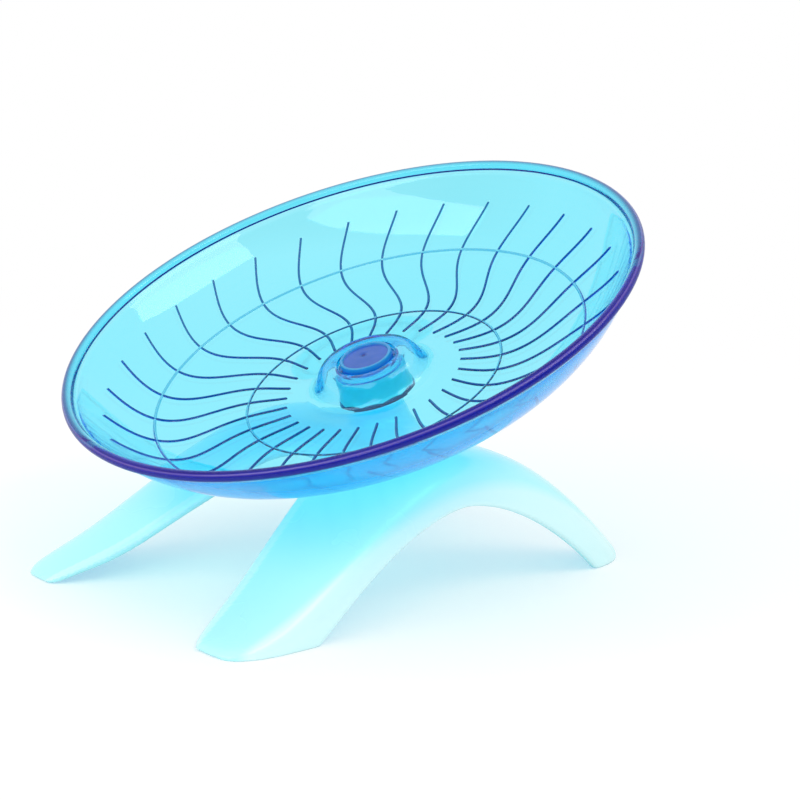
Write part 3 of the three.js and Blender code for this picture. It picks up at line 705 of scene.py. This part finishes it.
metals = {
    "ground steel": {"colour": (0.62, 0.64, 0.67), "roughness": (0.24, 0.38), "grain": 900, "nodes": (
        "axle_screw", "screw_washer", "bearing_outer_ring", "bearing_inner_ring", "snap_ring_upper",
        "snap_ring_lower", "bearing_shield_upper", "bearing_shield_lower")},
    "pressed brass": {"colour": (0.62, 0.46, 0.2), "roughness": (0.32, 0.46), "grain": 500, "nodes": (
        "ball_cage_upper", "ball_cage_lower")},
    "polished balls": {"colour": (0.78, 0.79, 0.81), "roughness": (0.08, 0.22), "grain": 300, "nodes": (
        "ball_1", "ball_2", "ball_3", "ball_4", "ball_5", "ball_6", "ball_7")},
}
for word, settings in metals.items():
    metal, tree, shader = newMaterial(word)
    shader.inputs["Metallic"].default_value = 1.0
    grain = noiseOn(tree, settings["grain"], 3)
    tree.links.new(spread(tree, grain, 0.3, 0.75, *settings["roughness"]), shader.inputs["Roughness"])
    dull = tuple(0.85 * c for c in settings["colour"])
    tone = blendColours(tree, spread(tree, grain, 0.35, 0.7, 0, 1), settings["colour"], dull)
    tree.links.new(tone, shader.inputs["Base Color"])
    for node in settings["nodes"]:
        frame["nodes"][node].data.materials.clear()
        frame["nodes"][node].data.materials.append(metal)
print("stage: bearing finished")

# Floor, light and camera, in metres and degrees

studio = {
    "floorSize": 80.0, "floorColour": (0.94, 0.95, 0.965), "floorRoughness": 0.6,
    "seenColour": (0.78, 0.52, 0.3), "seenGlow": (0.28, 0.505, 0.718), "fade": (0.16, 0.5), "world": 0.74,
    # The darker front that the plastic mirrors
    "darkWay": (0.75, -0.66, 0.0), "darkShare": 0.85, "darkFloor": (0.12, 0.35), "darkWall": (-0.2, 0.5),
    "ceiling": (0.55, 0.8),
    "lens": 94.25, "sensor": 36, "eye": (0.46167, -0.40718, 0.18966), "heading": 137.047, "down": 12.525,
    "roll": 2.372, "farthest": 50, "lampsAim": 0.09,
    "lamps": (
        {"name": "left soft box", "heading": -85, "height": 33, "away": 1.4, "roll": -8,
         "size": (1.65, 0.56), "glow": 2.25},
        {"name": "right soft box", "heading": 16, "height": 52, "away": 1.3, "roll": 4,
         "size": (1.15, 0.36), "glow": 2.9},
    ),
}


def turnedPlace(heading, down, roll, position):
    # A place whose -Z looks along a heading and a dip, in radians, rolled about that way.
    flat = math.cos(down)
    way = np.array([flat * math.cos(heading), flat * math.sin(heading), -math.sin(down)])
    right = np.array([math.sin(heading), -math.cos(heading), 0])
    up = np.cross(right, way)
    turnedRight = math.cos(roll) * right + math.sin(roll) * up
    turnedUp = math.cos(roll) * up - math.sin(roll) * right
    place = Matrix(np.stack([turnedRight, turnedUp, -way], 1).tolist()).to_4x4()
    place.translation = position
    return place


def seenRays(tree):
    # One for what is seen straight, mirrored or through a clear piece, and none for scattered light.
    rays = addNode(tree, "ShaderNodeLightPath")
    total = rays.outputs["Is Camera Ray"]
    for word in ("Is Glossy Ray", "Is Transmission Ray"):
        total = calculate(tree, "MAXIMUM", total, rays.outputs[word])
    return total


def mirroredDark(tree, spot, ends):
    # For mirrored rays only, a darkness that grows with the distance of a spot along the way to the front.
    facing = addNode(tree, "ShaderNodeVectorMath", {"operation": "DOT_PRODUCT"})
    facing.inputs[1].default_value = studio["darkWay"]
    tree.links.new(spot, facing.inputs[0])
    rays = addNode(tree, "ShaderNodeLightPath")
    share = spread(tree, facing.outputs["Value"], *ends, 0, studio["darkShare"])
    return calculate(tree, "MULTIPLY", rays.outputs["Is Glossy Ray"], share)


def makeFloor():
    # A pale floor that takes shadows round the wheel and glows white farther off.
    s = studio
    half = s["floorSize"] / 2 / mm
    corners = np.array([[-half, -half, 0], [half, -half, 0], [half, half, 0], [-half, half, 0]])
    floor = makeMesh("floor", corners, np.array([[0, 1, 2, 3]]))
    material, tree, shader = newMaterial("pale floor")
    shader.inputs["Roughness"].default_value = s["floorRoughness"]
    shader.inputs["Specular IOR Level"].default_value = 0.0
    spot = addNode(tree, "ShaderNodeTexCoord").outputs["Object"]
    away = addNode(tree, "ShaderNodeVectorMath", {"operation": "LENGTH"})
    tree.links.new(spot, away.inputs[0])
    far = spread(tree, away.outputs["Value"], *s["fade"], 0, 1)
    seen = seenRays(tree)
    shown = blendColours(tree, far, s["seenColour"], (0, 0, 0))
    tree.links.new(blendColours(tree, seen, s["floorColour"], shown), shader.inputs["Base Color"])
    tree.links.new(blendColours(tree, far, s["seenGlow"], (1, 1, 1)), shader.inputs["Emission Color"])
    glow = calculate(tree, "SUBTRACT", seen, mirroredDark(tree, spot, s["darkFloor"]))
    tree.links.new(glow, shader.inputs["Emission Strength"])
    floor.data.materials.append(material)


def makeRoom():
    # A white room, whose front wall is darker below its ceiling to what mirrors it.
    s = studio
    world = bpy.data.worlds.new("white studio")
    bpy.context.scene.world = world
    world.use_nodes = True
    tree = world.node_tree
    background = next(node for node in tree.nodes if node.type == "BACKGROUND")
    background.inputs["Color"].default_value = (1, 1, 1, 1)
    way = addNode(tree, "ShaderNodeTexCoord").outputs["Generated"]
    parts = addNode(tree, "ShaderNodeSeparateXYZ")
    tree.links.new(way, parts.inputs[0])
    low = spread(tree, parts.outputs["Z"], *s["ceiling"], 1, 0)
    darkness = calculate(tree, "MULTIPLY", mirroredDark(tree, way, s["darkWall"]), low)
    strength = spread(tree, seenRays(tree), 0, 1, s["world"], 1.0)
    tree.links.new(calculate(tree, "SUBTRACT", strength, darkness), background.inputs["Strength"])


def makeLamps():
    # Soft boxes that face the wheel. A lamp's power is its glow times pi and its area.
    for lamp in studio["lamps"]:
        data = bpy.data.lights.new(lamp["name"], "AREA")
        data.shape = "RECTANGLE"
        data.size, data.size_y = lamp["size"]
        data.energy = lamp["glow"] * math.pi * data.size * data.size_y
        light = bpy.data.objects.new(lamp["name"], data)
        heading, height, roll = (math.radians(lamp[word]) for word in ("heading", "height", "roll"))
        flat = lamp["away"] * math.cos(height)
        up = studio["lampsAim"] + lamp["away"] * math.sin(height)
        at = (flat * math.cos(heading), flat * math.sin(heading), up)
        light.matrix_world = turnedPlace(heading + math.pi, height, roll, at)
        bpy.context.scene.collection.objects.link(light)


def makeCamera():
    s = studio
    data = bpy.data.cameras.new("camera")
    data.lens = s["lens"]
    data.sensor_width = s["sensor"]
    data.clip_end = s["farthest"]
    camera = bpy.data.objects.new("camera", data)
    heading, down, roll = (math.radians(s[word]) for word in ("heading", "down", "roll"))
    camera.matrix_world = turnedPlace(heading, down, roll, s["eye"])
    bpy.context.scene.collection.objects.link(camera)
    bpy.context.scene.camera = camera


makeFloor()
makeRoom()
makeLamps()
makeCamera()
bpy.context.scene.view_settings.view_transform = "Standard"
